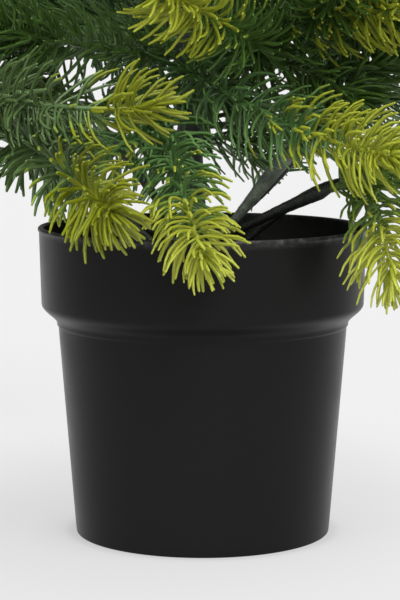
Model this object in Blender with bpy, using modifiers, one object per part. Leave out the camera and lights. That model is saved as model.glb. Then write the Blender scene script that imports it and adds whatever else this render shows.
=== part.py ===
"""Potted artificial spruce: a black nursery pot with a weighted plug, a bound trunk, nine wrapped boughs
and the masses of moulded needles that they and the trunk carry.

Metres, +Z up. The origin is on the pot's axis, on its flat underside, and the front is towards -Y.
An azimuth is in degrees round the pot's axis: 0 is right (+X), 90 back (+Y), 180 left, 270 front.
"""

import math
import random

import bmesh
import bpy
import numpy as np
from mathutils import Vector

SEED = 41
GAP = 0.0003  # left between neighbours that touch
WELD = 0.00001
UP = Vector((0.0, 0.0, 1.0))

# Pot: a tapered body, an ogee flare, a collar and a rolled lip
POT_HEIGHT = 0.1548
POT_WALL = 0.0021
POT_FLOOR = 0.0030
BASE_RADIUS = 0.0641
BASE_EDGE = 0.0016  # height of the slight bevel round the underside
BASE_EDGE_INSET = 0.0003
BODY_TOP_RADIUS = 0.0724
BODY_TOP = 0.1035
CREASE_RADIUS = 0.0731
CREASE_TOP = 0.1062
FLARE_TOP = 0.1165
FLARE_STATIONS = 4
COLLAR_RADIUS = 0.0809
COLLAR_TOP_RADIUS = 0.0819
COLLAR_TOP = 0.1523
LIP_RADIUS = 0.0825
# The rolled lip, inside then outside, as how far in from its radius and how far below the pot's top
LIP_INSIDE = ((0.0028, 0.0014), (0.0023, 0.0004))
LIP_OUTSIDE = ((0.0011, 0.0), (0.0003, 0.0004), (0.0, 0.0011), (0.0002, 0.0019))
INSIDE_HEIGHTS = (BODY_TOP, 0.1082, 0.1115, FLARE_TOP)  # where the wall's inside bends
TURN_STEPS = 36

# Plug that weights the pot
PLUG_TOP = 0.1180
PLUG_CROWN = 0.0030
PLUG_SHOULDER = (0.0450, 0.0021)  # radius of the crown's bend, and its rise over the plug's edge
PLUG_GAP = 0.00045

# Trunk: one tapering pole with a slight bow to the left
TRUNK_FOOT = PLUG_TOP + PLUG_CROWN + GAP
TRUNK_FOOT_RADIUS = 0.0068
TRUNK_TOP_RADIUS = 0.0032
TRUNK_TOP = 0.6600
TRUNK_BOW = 0.0070
TRUNK_BOW_HEIGHT = 0.1150
TRUNK_UPRIGHT = 0.0040
TRUNK_STATIONS = 11
TRUNK_STATION_POWER = 1.5  # sets the stations closer near the foot, where the bow is
TUBE_RESOLUTION = 2

# Boughs: tape-wrapped, thicker where the shoots are bound to them
BOUGH_ROOT_RADIUS = 0.0015
BOUGH_TIP_RADIUS = 0.0036
THICK_BOUGHS = {"right_high": 0.0050}  # the radius of its tip
BOUGH_STATIONS = 7
BOUGH_ROOTS = (0.1330, 0.1465)  # the two heights at which boughs leave the trunk, in turn

# Curve of every bough and shoot
BOUGH_LEAD = 0.07  # share of a bough's length that it keeps its first heading for
SHOOT_LEAD = 0.22
BEND_SHARE = 0.62  # share of the way at which a lift and a bow act
SQUARE_START = 0.0020  # first stretch, square to what the limb stands on

# Crown
CROWN_RADIUS = 0.1850
CROWN_WIDEST = 0.2500
CROWN_TOP = 0.7820

# Shoots: a slim three-sided core whose faces are drawn out into needles
CORE_SIDES = 3
CORE_ROOT_RADIUS = 0.0027
CORE_TIP_RADIUS = 0.0016
STATION_STEP = 0.0143
FEWEST_STATIONS = 5
NEEDLE = 0.0250
NEEDLE_LEAN = 35.0  # degrees from square to the core, towards its tip
NEEDLE_LEAN_TIP = 58.0
NEEDLE_LEAN_POWER = 3
LENGTH_STEPS = (1.0, 0.8, 0.62, 0.45)
TESTED_SHARES = (0.35, 0.7, 1.0)  # the points along a needle that have to be clear
BARE_ROOT = 0.0090
SPACE_MARGIN = 0.0032  # how much nearer a needle is to its own shoot than to any other
LIMB_MARGIN = 0.0022
RIM_MARGIN = 0.0020
SHOOT_CLEARANCE = 0.0150
SHOOT_RIM_CLEARANCE = 0.0120

# Colours and roughness
POT_LOOK = ((0.016, 0.016, 0.015), 0.62)
PLUG_LOOK = ((0.020, 0.018, 0.016), 0.90)
WRAP_LOOK = ((0.030, 0.040, 0.026), 0.75)
NEEDLE_LOOK = ((0.030, 0.085, 0.020), 0.45)

# Each wrapped bough: azimuth of its root, row of BOUGH_ROOTS, then azimuth, distance and height of its
# tip, all lengths in millimetres, how far its middle is lifted, and how far it bows to its left
BOUGHS = {
    "right_high": (4, 1, 336, 50, 197, -1, 0),
    "right_low": (316, 1, 326, 74, 176, 2, -1),
    "left_low": (192, 1, 189, 104, 194, 3, 0),
    "left_front": (226, 0, 211, 92, 198, 0, 0),
    "right_back": (28, 0, 18, 84, 174, 20, 8),
    "back_right": (52, 1, 53, 88, 192, 1, -10),
    "back": (92, 0, 92, 92, 190, 2, 0),
    "back_left": (128, 1, 125, 88, 198, 4, 0),
    "left_back": (160, 0, 157, 94, 188, 2, 0),
}

# Each low or middle mass: its bough, or the azimuth and height of its root on the trunk; then its
# shoots. The first shoot is the main one. Each shoot: the share of the main one at which it starts,
# azimuth, distance and height of its tip, lift and bow in millimetres; and how many more are seeded
MASSES = {
    "right_high": ("right_high", [(0, 346, 140, 290, 0, 0), (0.35, 8, 118, 250, 6, 0)], 1),
    "right_low": ("right_low", [(0, 336, 178, 212, 4, 0), (0.10, 319, 117, 140, 16, 0)], 2),
    "left_low": ("left_low", [(0, 184, 188, 216, 2, 0)], 3),
    "left_front": (
        "left_front",
        [(0, 205, 184, 248, 0, 0), (0.06, 256, 163, 175, 3, -2), (0.32, 260, 127, 219, -5, -19)],
        1,
    ),
    "right_back": ("right_back", [(0, 16, 186, 214, 4, 0)], 3),
    "back_right": ("back_right", [(0, 60, 180, 226, 4, 0)], 3),
    "back": ("back", [(0, 93, 186, 212, 4, 0), (0.10, 75, 117, 193, -3, 0)], 3),
    "back_left": ("back_left", [(0, 121, 180, 226, 4, 0)], 3),
    "left_back": ("left_back", [(0, 152, 186, 212, 4, 0)], 3),
    "front": ((230, 222), [(0, 270, 113, 151, 9, -8), (0.24, 236, 92, 186, 6, 0)], 0),
    "front_right": ((262, 234), [(0, 308, 138, 196, -12, 0)], 0),
    "front_high": ((306, 249), [(0, 331, 84, 220, 6, 0), (0.40, 261, 120, 269, 4, 0)], 0),
    "right_upper": ((342, 256), [(0, 321, 164, 270, -6, 0), (0.40, 300, 142, 300, 4, 0)], 1),
    "left_upper": ((200, 240), [(0, 204, 176, 262, 2, 0), (0.36, 188, 140, 229, 4, 0)], 2),
    "right_rear": ((30, 248), [(0, 26, 172, 272, 6, 0)], 3),
    "rear": ((80, 240), [(0, 76, 172, 268, 6, 0)], 3),
    "left_rear": ((130, 248), [(0, 134, 172, 272, 6, 0)], 3),
}

# Seeded side shoots
SIDE_SHARE = (0.30, 0.80)  # the stretch of a main shoot that they start in
SIDE_SHARE_PLAY = (0.25, 0.75)
SIDE_LENGTH = (0.058, 0.088)
SIDE_LENGTH_ALONG = (1.15, 0.80)  # how their length falls from the main shoot's root to its tip
SIDE_ANGLE = (38.0, 56.0)
SIDE_ROLLS = (-14.0, 194.0, 82.0)  # degrees round the main shoot: right, left and up, in turn
SIDE_ROLL_PLAY = 18.0
SIDE_LIFT = (-0.004, 0.006)
SIDE_TRIES = 12
SIDE_FORK_STATIONS = 3  # the first stations of a side shoot, which lie by its main one
FULL_MAIN = 0.1000  # a shorter main shoot has side shoots that are shorter alike

# Upper masses, wound up the trunk by an even turn
UPPER_MASSES = 24
UPPER_LOW = 0.2880
UPPER_HIGH = 0.6200
UPPER_TURN = 137.5
UPPER_FIRST = 252.0
UPPER_AZIMUTH_PLAY = 6.0
UPPER_RISE = (0.040, 0.075)
UPPER_REACH = (0.92, 1.05)
UPPER_LIFT = -0.0040
UPPER_SIDES = (3, 2)  # side shoots of an upper mass, below FEWER_SIDES_ABOVE and above it
FEWER_SIDES_ABOVE = 0.4600

# Leader: the upright shoot on the trunk's tip
LEADER_SIDES = 4
LEADER_SIDE_SHARE = (0.14, 0.59)
LEADER_SIDE_LENGTH = (0.058, 0.036)
LEADER_SIDE_OUT = 0.72
LEADER_SIDE_UP = 0.70
LEADER_FIRST = 20.0


def millimetres(value):
    return value / 1000.0


def polar(azimuth, distance, height):
    """A point from its azimuth in degrees, its distance from the pot's axis and its height."""
    turn = math.radians(azimuth)
    return Vector((distance * math.cos(turn), distance * math.sin(turn), height))


def outward(azimuth):
    return polar(azimuth, 1.0, 0.0)


def blend(low, high, share):
    return low + (high - low) * share


def as_array(points):
    return np.array([tuple(point) for point in points])


def path_steps(points):
    return [(b - a).length for a, b in zip(points, points[1:])]


def along(points, share):
    """The point and the heading at a share of a polyline's length."""
    steps = path_steps(points)
    left = share * sum(steps)
    for step, a, b in zip(steps, points, points[1:]):
        if left <= step or b is points[-1]:
            return a + (b - a) * min(1.0, left / step), (b - a).normalized()
        left -= step


def last_heading(points):
    return (points[-1] - points[-2]).normalized()


def nearest(points, starts, ends):
    """The distance from each point to each segment, as a table."""
    step = ends - starts
    squared = (step * step).sum(axis=1)
    offset = points[:, None, :] - starts[None, :, :]
    share = np.clip((offset * step[None, :, :]).sum(axis=2) / squared[None, :], 0.0, 1.0)
    return np.linalg.norm(offset - share[:, :, None] * step[None, :, :], axis=2)


def make_material(name, look):
    colour, roughness = look
    material = bpy.data.materials.new(name)
    material.use_nodes = True
    shader = material.node_tree.nodes["Principled BSDF"]
    shader.inputs["Base Color"].default_value = (*colour, 1.0)
    shader.inputs["Roughness"].default_value = roughness
    shader.inputs["Metallic"].default_value = 0.0
    return material


def make_collection(name):
    collection = bpy.data.collections.new(name)
    bpy.context.scene.collection.children.link(collection)
    return collection


def pot_outer_side():
    """The pot's outer side as radius and height, from the lip's top down to the underside's edge."""
    side = [(LIP_RADIUS - inset, POT_HEIGHT - drop) for inset, drop in LIP_OUTSIDE]
    side.append((COLLAR_TOP_RADIUS, COLLAR_TOP))
    for index in range(FLARE_STATIONS + 1):
        share = index / FLARE_STATIONS
        swell = 0.5 + 0.5 * math.cos(math.pi * share)
        side.append((blend(CREASE_RADIUS, COLLAR_RADIUS, swell), blend(FLARE_TOP, CREASE_TOP, share)))
    side.append((BODY_TOP_RADIUS, BODY_TOP))
    side.append((blend(BASE_RADIUS, BODY_TOP_RADIUS, BASE_EDGE / BODY_TOP), BASE_EDGE))
    side.append((BASE_RADIUS - BASE_EDGE_INSET, 0.0))
    return side


def pot_inner_radius(height):
    """The inside of the pot's wall, which follows the outside all the way down."""
    side = pot_outer_side()
    for (upper_radius, upper), (lower_radius, lower) in zip(side, side[1:]):
        if lower <= height <= upper:
            return blend(lower_radius, upper_radius, (height - lower) / (upper - lower)) - POT_WALL
    return side[0][0] - POT_WALL


def pot_profile():
    """The whole section: up the inside from the floor's centre, over the lip and down the outside."""
    heights = (POT_FLOOR, *INSIDE_HEIGHTS, COLLAR_TOP)
    inner = [(0.0, POT_FLOOR)] + [(pot_inner_radius(height), height) for height in heights]
    lip = [(LIP_RADIUS - inset, POT_HEIGHT - drop) for inset, drop in LIP_INSIDE]
    return inner + lip + pot_outer_side() + [(0.0, 0.0)]


def plug_profile():
    """The plug from the top of its crown down its side to the middle of its underside."""
    foot = POT_FLOOR + GAP
    shoulder_radius, shoulder_rise = PLUG_SHOULDER
    crown = [(0.0, PLUG_TOP + PLUG_CROWN), (shoulder_radius, PLUG_TOP + shoulder_rise)]
    heights = (PLUG_TOP, *reversed(INSIDE_HEIGHTS), foot)
    side = [(pot_inner_radius(height) - PLUG_GAP, height) for height in heights]
    return crown + side + [(0.0, foot)]


def turned(name, profile, collection, material):
    """A solid of revolution from its profile."""
    mesh = bpy.data.meshes.new(name)
    points = [(radius, 0.0, height) for radius, height in profile]
    mesh.from_pydata(points, [(i, i + 1) for i in range(len(points) - 1)], [])
    obj = bpy.data.objects.new(name, mesh)
    collection.objects.link(obj)
    obj.data.materials.append(material)
    screw = obj.modifiers.new("Turn", "SCREW")
    screw.steps = TURN_STEPS
    screw.render_steps = TURN_STEPS
    screw.use_merge_vertices = True
    screw.merge_threshold = WELD
    screw.use_normal_calculate = False
    screw.use_smooth_shade = True


def tube(name, points, radii, collection, section=None):
    """A limb along points whose radius is given at each, round unless a section curve is given."""
    curve = bpy.data.curves.new(name, "CURVE")
    curve.dimensions = "3D"
    curve.use_fill_caps = True
    curve.twist_mode = "MINIMUM"
    if section is None:
        curve.bevel_depth = 1.0
        curve.bevel_resolution = TUBE_RESOLUTION
    else:
        curve.bevel_mode = "OBJECT"
        curve.bevel_object = section
    spline = curve.splines.new("POLY")
    spline.points.add(len(points) - 1)
    for place, point, radius in zip(spline.points, points, radii):
        place.co = (*point, 1.0)
        place.radius = radius
    obj = bpy.data.objects.new(name, curve)
    collection.objects.link(obj)
    return obj


def as_mesh(obj, name, collection):
    """A closed mesh object made from a curve, which is then removed."""
    evaluated = obj.evaluated_get(bpy.context.evaluated_depsgraph_get())
    mesh = bpy.data.meshes.new_from_object(evaluated)
    bm = bmesh.new()
    bm.from_mesh(mesh)
    bmesh.ops.remove_doubles(bm, verts=bm.verts, dist=WELD)
    bmesh.ops.recalc_face_normals(bm, faces=bm.faces)
    bm.to_mesh(mesh)
    bm.free()
    solid = bpy.data.objects.new(name, mesh)
    solid.matrix_world = obj.matrix_world
    collection.objects.link(solid)
    curve = obj.data
    bpy.data.objects.remove(obj, do_unlink=True)
    bpy.data.curves.remove(curve)
    return solid


def make_section(collection):
    """A regular outline of radius 1, the cross-section of every shoot's core."""
    curve = bpy.data.curves.new("shoot_section", "CURVE")
    spline = curve.splines.new("POLY")
    spline.points.add(CORE_SIDES - 1)
    for index, point in enumerate(spline.points):
        turn = 2.0 * math.pi * index / CORE_SIDES
        point.co = (math.cos(turn), math.sin(turn), 0.0, 1.0)
    spline.use_cyclic_u = True
    section = bpy.data.objects.new("shoot_section", curve)
    section.hide_render = True
    section.display_type = "WIRE"
    collection.objects.link(section)
    return section


def trunk_line():
    """The trunk's middle from foot to top: upright at the foot, bowed to the left, straight on top."""
    bend_foot = TRUNK_FOOT + TRUNK_UPRIGHT
    points = [Vector((0.0, 0.0, TRUNK_FOOT)), Vector((0.0, 0.0, bend_foot))]
    for index in range(1, TRUNK_STATIONS):
        share = (index / (TRUNK_STATIONS - 1)) ** TRUNK_STATION_POWER
        height = blend(bend_foot, TRUNK_TOP, share)
        rise = (height - bend_foot) / TRUNK_BOW_HEIGHT
        points.append(Vector((-TRUNK_BOW * rise * math.exp(1.0 - rise), 0.0, height)))
    return points


def trunk_centre(height):
    """The trunk's middle at a height."""
    points = trunk_line()
    for low, high in zip(points, points[1:]):
        if height <= high.z:
            return blend(low, high, (height - low.z) / (high.z - low.z))
    return points[-1]


def trunk_radius(height):
    return blend(TRUNK_FOOT_RADIUS, TRUNK_TOP_RADIUS, (height - PLUG_TOP) / (TRUNK_TOP - PLUG_TOP))


def trunk_seat(azimuth, height):
    """Where a limb's root stands off the trunk, and the way it leaves."""
    heading = outward(azimuth)
    return trunk_centre(height) + heading * (trunk_radius(height) + GAP), heading


def bent(start, heading, end, lift, bow, stations, lead):
    """A smooth limb from start, which it leaves along heading, to end."""
    reach = end - start
    left = UP.cross(reach).normalized()
    first = start + heading * lead * reach.length
    second = start + reach * BEND_SHARE + UP * lift + left * bow
    points = [start, start + heading * SQUARE_START]
    for index in range(1, stations):
        t = index / (stations - 1)
        s = 1.0 - t
        points.append(
            start * s**3 + first * 3.0 * s * s * t + second * 3.0 * s * t * t + end * t**3
        )
    return points


def bough_tip_radius(name):
    return THICK_BOUGHS.get(name, BOUGH_TIP_RADIUS)


def plan_bough(row):
    """A bough's points, from just clear of the trunk to its tip."""
    root_azimuth, root_row, azimuth, distance, height, lift, bow = row
    start, heading = trunk_seat(root_azimuth, BOUGH_ROOTS[root_row])
    end = polar(azimuth, millimetres(distance), millimetres(height))
    return bent(start, heading, end, millimetres(lift), millimetres(bow), BOUGH_STATIONS, BOUGH_LEAD)


def plan_shoot(start, heading, end, lift, bow):
    stations = max(FEWEST_STATIONS, round((end - start).length / STATION_STEP) + 1)
    return bent(start, heading, end, lift, bow, stations, SHOOT_LEAD)


def plan_side(main, share, end, lift, bow):
    """A side shoot from inside its main one, leaving it at half the turn towards its own tip."""
    start, heading = along(main, share)
    way = (heading + (end - start).normalized()).normalized()
    return plan_shoot(start, way, end, lift, bow)


def seeded_end(main, share, roll, rng):
    """Where a seeded side shoot ends: turned off the main one to the side that roll gives."""
    start, heading = along(main, share)
    length = rng.uniform(*SIDE_LENGTH) * blend(*SIDE_LENGTH_ALONG, share)
    length *= min(1.0, sum(path_steps(main)) / FULL_MAIN)
    right = heading.cross(UP).normalized()
    over = right.cross(heading)
    angle = math.radians(rng.uniform(*SIDE_ANGLE))
    roll = math.radians(roll + rng.uniform(-SIDE_ROLL_PLAY, SIDE_ROLL_PLAY))
    aside = right * math.cos(roll) + over * math.sin(roll)
    return start + (heading * math.cos(angle) + aside * math.sin(angle)) * length


def clear_of_rim(point, margin):
    return point.z > POT_HEIGHT + margin or math.hypot(point.x, point.y) > LIP_RADIUS + margin


def own_draws(name):
    """The random draws of one mass, which don't depend on the other masses."""
    return random.Random(f"{SEED} {name}")


class Layout:
    """Every limb and shoot of the plan, as segments with their owner and radius."""

    def __init__(self):
        self.segments = []

    def add(self, points, radius, mass, number=0):
        """Adds a shoot of a mass, or with no mass a limb."""
        for a, b in zip(points, points[1:]):
            self.segments.append((tuple(a), tuple(b), radius, mass, number))

    def pick(self, chosen):
        """The starts, ends and radii of the segments that chosen says yes to."""
        rows = [row for row in self.segments if chosen(row[3], row[4])]
        starts = np.array([row[0] for row in rows])
        ends = np.array([row[1] for row in rows])
        return starts, ends, np.array([row[2] for row in rows])

    def room_round(self, points, mass):
        """The least distance from a planned shoot to whatever its own mass doesn't hold."""
        starts, ends, radii = self.pick(lambda other, number: other != mass)
        return (nearest(as_array(points), starts, ends) - radii[None, :]).min()


def given_shoot(row):
    """A shoot's row in metres: its share, the point it ends at, its lift and its bow."""
    share, azimuth, distance, height, lift, bow = row
    end = polar(azimuth, millimetres(distance), millimetres(height))
    return share, end, millimetres(lift), millimetres(bow)


def plan_mass(name, root, heading, given, seeded, rng, layout):
    """The shoots of one mass: the given ones, then the seeded ones that find room."""
    _, end, lift, bow = given[0]
    main = plan_shoot(root, heading, end, lift, bow)
    shoots = [main]
    layout.add(main, CORE_ROOT_RADIUS, name)
    for share, end, lift, bow in given[1:]:
        shoots.append(plan_side(main, share, end, lift, bow))
        layout.add(shoots[-1], CORE_ROOT_RADIUS, name, len(shoots) - 1)
    first_roll = rng.randrange(len(SIDE_ROLLS))
    for index in range(seeded):
        roll = SIDE_ROLLS[(first_roll + index) % len(SIDE_ROLLS)]
        for _ in range(SIDE_TRIES):
            share = blend(*SIDE_SHARE, (index + rng.uniform(*SIDE_SHARE_PLAY)) / seeded)
            end = seeded_end(main, share, roll, rng)
            path = plan_side(main, share, end, rng.uniform(*SIDE_LIFT), 0.0)
            room = layout.room_round(path[SIDE_FORK_STATIONS:], name)
            if room > SHOOT_CLEARANCE and clear_of_rim(end, SHOOT_RIM_CLEARANCE):
                shoots.append(path)
                layout.add(path, CORE_ROOT_RADIUS, name, len(shoots) - 1)
                break
    return shoots


def plan_upper_mass(index, rng, layout):
    """One mass of the spiral round the upper trunk, shorter the higher it stands."""
    azimuth = UPPER_FIRST + UPPER_TURN * index
    azimuth += rng.uniform(-UPPER_AZIMUTH_PLAY, UPPER_AZIMUTH_PLAY)
    root_height = blend(UPPER_LOW, UPPER_HIGH, index / (UPPER_MASSES - 1))
    root, heading = trunk_seat(azimuth, root_height)
    tip_height = root_height + rng.uniform(*UPPER_RISE)
    narrowing = (CROWN_TOP - tip_height) / (CROWN_TOP - CROWN_WIDEST)
    distance = CROWN_RADIUS * narrowing * rng.uniform(*UPPER_REACH)
    given = [(0.0, polar(azimuth, distance, tip_height), UPPER_LIFT, 0.0)]
    seeded = UPPER_SIDES[root_height >= FEWER_SIDES_ABOVE]
    return plan_mass(upper_name(index), root, heading, given, seeded, rng, layout)


def upper_name(index):
    return f"upper_{index + 1:02d}"


def plan_leader(trunk, rng, layout):
    """The upright shoot on the trunk's tip, with side shoots that reach up round it."""
    heading = last_heading(trunk)
    given = [(0.0, Vector((0.0, 0.0, CROWN_TOP)), 0.0, 0.0)]
    shoots = plan_mass("leader", trunk[-1] + heading * GAP, heading, given, 0, rng, layout)
    for index in range(LEADER_SIDES):
        place = index / (LEADER_SIDES - 1)
        share = blend(*LEADER_SIDE_SHARE, place)
        length = blend(*LEADER_SIDE_LENGTH, place)
        way = outward(LEADER_FIRST + UPPER_TURN * index) * LEADER_SIDE_OUT + UP * LEADER_SIDE_UP
        start, _ = along(shoots[0], share)
        shoots.append(plan_side(shoots[0], share, start + way * length, 0.0, 0.0))
        layout.add(shoots[-1], CORE_ROOT_RADIUS, "leader", index + 1)
    return shoots


def plan_tree():
    """The trunk's points, the boughs' and the masses' shoots by name, and the layout of them all."""
    layout = Layout()
    trunk = trunk_line()
    layout.add(trunk, TRUNK_FOOT_RADIUS, None)
    boughs = {name: plan_bough(row) for name, row in BOUGHS.items()}
    for name, points in boughs.items():
        layout.add(points, bough_tip_radius(name), None)
    masses = {}
    for name, (carrier, rows, seeded) in MASSES.items():
        if carrier in boughs:
            heading = last_heading(boughs[carrier])
            root = boughs[carrier][-1] + heading * GAP
        else:
            root, heading = trunk_seat(carrier[0], millimetres(carrier[1]))
        given = [given_shoot(row) for row in rows]
        masses[name] = plan_mass(name, root, heading, given, seeded, own_draws(name), layout)
    for index in range(UPPER_MASSES):
        masses[upper_name(index)] = plan_upper_mass(index, own_draws(upper_name(index)), layout)
    masses["leader"] = plan_leader(trunk, own_draws("leader"), layout)
    return trunk, boughs, masses, layout


def needle_lengths(bases, ways, mass, number, layout):
    """How long each needle may grow in the space of its own shoot; 0 where there is no room."""
    own = layout.pick(lambda other, one: (other, one) == (mass, number))
    shoots = layout.pick(lambda other, one: other is not None and (other, one) != (mass, number))
    limbs = layout.pick(lambda other, one: other is None)
    lengths = np.zeros(len(bases))
    for step in LENGTH_STEPS:
        fits = np.ones(len(bases), bool)
        for share in TESTED_SHARES:
            points = bases + ways * (NEEDLE * step * share)
            mine = nearest(points, own[0], own[1]).min(axis=1)
            fits &= nearest(points, shoots[0], shoots[1]).min(axis=1) > mine + SPACE_MARGIN
            fits &= (nearest(points, limbs[0], limbs[1]) - limbs[2][None, :]).min(axis=1) > LIMB_MARGIN
            aside = np.hypot(points[:, 0], points[:, 1])
            fits &= (points[:, 2] > POT_HEIGHT + RIM_MARGIN) | (aside > LIP_RADIUS + RIM_MARGIN)
        lengths = np.where((lengths == 0.0) & fits, NEEDLE * step, lengths)
    return lengths


def needle_on(face, path):
    """Where a needle starts on a face of a shoot's core, its way, and how far along the core it is."""
    centre = face.calc_center_median()
    stations = as_array(path)
    segment = int(nearest(as_array([centre]), stations[:-1], stations[1:])[0].argmin())
    start = path[segment]
    heading = (path[segment + 1] - start).normalized()
    foot = start + heading * (centre - start).dot(heading)
    steps = path_steps(path)
    gone = sum(steps[:segment]) + (foot - start).length
    lean = blend(NEEDLE_LEAN, NEEDLE_LEAN_TIP, (gone / sum(steps)) ** NEEDLE_LEAN_POWER)
    square = (centre - foot).normalized()
    way = square * math.cos(math.radians(lean)) + heading * math.sin(math.radians(lean))
    return centre, way, gone


def draw_out_needles(obj, path, mass, number, layout):
    """Draws one half of each side face of a shoot's core out into a needle, and its end into one more."""
    bm = bmesh.new()
    bm.from_mesh(obj.data)
    faces = []
    bases = []
    ways = []
    for index, quad in enumerate([face for face in bm.faces if len(face.verts) > 3]):
        face = bmesh.ops.triangulate(bm, faces=[quad])["faces"][index % 2]
        base, way, gone = needle_on(face, path)
        if gone > BARE_ROOT:
            faces.append(face)
            bases.append(base)
            ways.append(way)
    tip_heading = last_heading(path)
    cap = max((face for face in bm.faces), key=lambda face: face.normal.dot(tip_heading))
    faces.append(cap)
    bases.append(cap.calc_center_median())
    ways.append(tip_heading)
    lengths = needle_lengths(as_array(bases), as_array(ways), mass, number, layout)
    for face, base, way, length in zip(faces, bases, ways, lengths):
        if length > 0.0:
            tip = bmesh.ops.poke(bm, faces=[face])["verts"][0]
            tip.co = base + way * length
    bm.to_mesh(obj.data)
    bm.free()


def make_shoot(path, mass, number, section, collection, layout):
    name = f"shoot_{mass}_{number}"
    last = len(path) - 1
    radii = [blend(CORE_ROOT_RADIUS, CORE_TIP_RADIUS, index / last) for index in range(last + 1)]
    solid = as_mesh(tube(name, path, radii, collection, section), name, collection)
    draw_out_needles(solid, path, mass, number, layout)
    return solid


def make_mass(mass, shoots, section, guides, collection, layout):
    """One mass: its main shoot with the side shoots joined to it."""
    sides = make_collection(f"sides_of_{mass}")
    main = make_shoot(shoots[0], mass, 0, section, guides, layout)
    for number, path in enumerate(shoots[1:], start=1):
        make_shoot(path, mass, number, section, sides, layout)
    if len(shoots) > 1:
        join = main.modifiers.new("Join", "BOOLEAN")
        join.operation = "UNION"
        join.operand_type = "COLLECTION"
        join.collection = sides
        join.solver = "EXACT"
    evaluated = main.evaluated_get(bpy.context.evaluated_depsgraph_get())
    name = f"needles_{mass}"
    mesh = bpy.data.meshes.new_from_object(evaluated)
    mesh.name = name
    mesh.materials.clear()
    mesh.materials.append(make_material(name, NEEDLE_LOOK))
    collection.objects.link(bpy.data.objects.new(name, mesh))
    for leftover in [main, *sides.objects]:
        data = leftover.data
        bpy.data.objects.remove(leftover, do_unlink=True)
        bpy.data.meshes.remove(data)
    bpy.data.collections.remove(sides)


def make_trunk(points, collection):
    trunk = tube("trunk", points, [trunk_radius(point.z) for point in points], collection)
    trunk.data.materials.append(make_material("trunk", WRAP_LOOK))


def make_bough(name, points, collection):
    last = len(points) - 1
    tip = bough_tip_radius(name)
    radii = [blend(BOUGH_ROOT_RADIUS, tip, index / last) for index in range(last + 1)]
    bough = tube(f"bough_{name}", points, radii, collection)
    bough.data.materials.append(make_material(f"bough_{name}", WRAP_LOOK))


def clear_scene():
    for obj in list(bpy.data.objects):
        bpy.data.objects.remove(obj, do_unlink=True)


def main():
    clear_scene()
    parts = make_collection("potted_artificial_spruce")
    guides = make_collection("guides")
    turned("pot", pot_profile(), parts, make_material("pot", POT_LOOK))
    turned("plug", plug_profile(), parts, make_material("plug", PLUG_LOOK))
    trunk, boughs, masses, layout = plan_tree()
    make_trunk(trunk, parts)
    for name, points in boughs.items():
        make_bough(name, points, parts)
    section = make_section(guides)
    for mass, shoots in masses.items():
        make_mass(mass, shoots, section, guides, parts, layout)


main()
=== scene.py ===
"""Looks of the artificial potted spruce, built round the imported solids.

The plan of boughs and shoots is the solids' own, from the same sizes and seed. Each shoot gets a moulded
stem and curved needles, each bough and the trunk a tape-wrapped skin, and the pot a finer wall. All
lengths are in metres unless a comment says otherwise.
"""

import math
import random

import bpy
import numpy as np
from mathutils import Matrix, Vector


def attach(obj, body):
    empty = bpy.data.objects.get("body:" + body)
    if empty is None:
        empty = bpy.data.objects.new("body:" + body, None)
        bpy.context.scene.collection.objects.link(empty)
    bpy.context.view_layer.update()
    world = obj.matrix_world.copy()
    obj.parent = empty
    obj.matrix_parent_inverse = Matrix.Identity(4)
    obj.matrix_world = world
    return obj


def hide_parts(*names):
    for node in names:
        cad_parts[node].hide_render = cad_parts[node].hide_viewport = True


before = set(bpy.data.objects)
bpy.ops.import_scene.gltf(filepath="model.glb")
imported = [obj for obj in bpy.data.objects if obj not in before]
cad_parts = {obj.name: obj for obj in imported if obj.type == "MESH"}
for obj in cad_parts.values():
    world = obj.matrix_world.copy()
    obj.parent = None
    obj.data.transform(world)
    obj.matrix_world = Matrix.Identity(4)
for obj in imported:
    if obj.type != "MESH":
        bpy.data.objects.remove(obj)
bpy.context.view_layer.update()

SEED = 41
GAP = 0.0003  # left between neighbours that touch
UP = Vector((0.0, 0.0, 1.0))
EVEN_TURN = 137.5  # degrees from one shoot, twig or needle to the next round its stem

# Pot. The corners of its outer side have their radius and height
POT_HEIGHT = 0.1548
POT_WALL = 0.0021
POT_FLOOR = 0.0030
BASE = (0.0641, 0.0)
BODY_TOP = (0.0724, 0.1035)
BODY_STEP = ((0.0724, 0.1045), (0.0725, 0.1051), (0.0729, 0.1054), (0.0732, 0.1058))
CREASE = (0.0731, 0.1062)
FLARE_TOP = (0.0809, 0.1165)
COLLAR_TOP = (0.0819, 0.1523)
LIP_RADIUS = 0.0825
LIP_LOW = (LIP_RADIUS, 0.1533)
LIP_WIDTH = 0.0028
POT_STEPS = 144

# The roundings of the pot's edges, with how many points each gets, and the shares of the body, the flare,
# the collar and the lip that get a ring of points
BASE_EDGE = 0.0010
BASE_ROUND = 0.0008
BASE_POINTS = 4
LIP_ROUND = 0.0011
LIP_POINTS = 7
MOUTH_ROUND = 0.0006
MOUTH_POINTS = 5
MOUTH_DROPS = (0.0008, 0.0016)
MOUTH_OUT = 0.0001
INNER_FLARE_RISE = 0.0010
INNER_BASE_SHARE = 0.03
BODY_RINGS = (0.06, 0.97, 9)
FLARE_RINGS = (0.08, 1.0, 14)
COLLAR_RINGS = (0.12, 0.97, 6)
LIP_RINGS = (0.1, 1.0, 6)
INNER_FLARE_RINGS = (0.9, 0.1, 8)

# Plug
PLUG_TOP = 0.1180
PLUG_CROWN = 0.0030

# Trunk
TRUNK_FOOT = PLUG_TOP + PLUG_CROWN + GAP
TRUNK_FOOT_RADIUS = 0.0068
TRUNK_TOP_RADIUS = 0.0032
TRUNK_TOP = 0.6600
TRUNK_BOW = 0.0070
TRUNK_BOW_HEIGHT = 0.1150
TRUNK_UPRIGHT = 0.0040
TRUNK_STATIONS = 11
TRUNK_STATION_POWER = 1.5

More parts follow.
